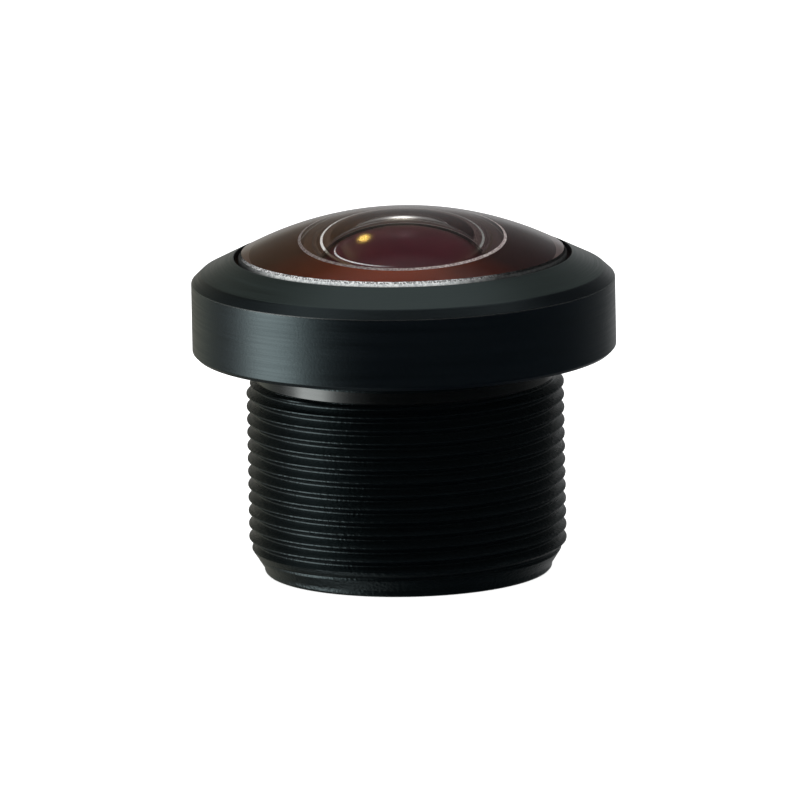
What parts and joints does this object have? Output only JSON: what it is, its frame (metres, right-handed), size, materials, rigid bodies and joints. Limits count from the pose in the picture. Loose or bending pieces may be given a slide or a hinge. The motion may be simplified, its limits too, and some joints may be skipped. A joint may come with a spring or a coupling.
{
  "type": "fisheye lens",
  "caption": "Board-mount fisheye lens: domed front glass in a wide screwed head ring, on a barrel with a fine mounting thread and a screwed rear retaining ring.",
  "frame": {"origin": "centre of the barrel's rear end face, which the lens stands on", "axes": "+Z along the optical axis from the rear end to the domed front glass; turned part, so X and Y are free"},
  "size_m": [0.016, 0.016, 0.0137],
  "materials": {
    "thread_anodising": "black anodised, thread cut",
    "head_anodising": "black anodised, fine turned",
    "front_glass": "polished, coated",
    "inner_glass": "polished, coated",
    "filter_glass": "polished, infrared coating",
    "seal_rubber": "matt",
    "slip_film": "matt black film",
    "blackened_metal": "matt black"
  },
  "bodies": {
    "barrel_group": {"barrel": "thread_anodising", "front_element": "front_glass", "front_o_ring": "seal_rubber", "front_spacer": "blackened_metal", "second_element": "inner_glass", "light_baffle": "slip_film", "third_element": "inner_glass", "middle_spacer": "blackened_metal", "fourth_element": "inner_glass", "aperture_stop": "blackened_metal", "stop_spacer": "blackened_metal", "fifth_element": "inner_glass", "sixth_element": "inner_glass", "rear_spacer": "blackened_metal", "seventh_element": "inner_glass", "filter_spacer": "blackened_metal", "infrared_filter": "filter_glass"},
    "front_washer": {"front_slip_washer": "slip_film"},
    "front_cap": {"front_cap_ring": "head_anodising"},
    "rear_washer": {"rear_slip_washer": "slip_film"},
    "rear_ring": {"rear_retaining_ring": "head_anodising"}
  },
  "joints": [
    {"name": "front_cap_travel", "type": "slide", "parent": "barrel_group", "child": "front_washer", "axis": [0, 0, 1], "range_m": [0, 0.00158]},
    {"name": "front_cap_turn", "type": "hinge", "parent": "front_washer", "child": "front_cap", "pos_m": [0, 0, 0.00986], "axis": [0, 0, 1], "range_deg": [0, 1621]},
    {"name": "rear_ring_travel", "type": "slide", "parent": "barrel_group", "child": "rear_washer", "axis": [0, 0, -1], "range_m": [0, 0.000875]},
    {"name": "rear_ring_turn", "type": "hinge", "parent": "rear_washer", "child": "rear_ring", "pos_m": [0, 0, 0.00065], "axis": [0, 0, -1], "range_deg": [0, 901]}
  ],
  "couplings": [
    {"joint": "front_cap_turn", "follows": "front_cap_travel", "rad_per_m": 17952},
    {"joint": "rear_ring_turn", "follows": "rear_ring_travel", "rad_per_m": 17952}
  ]
}
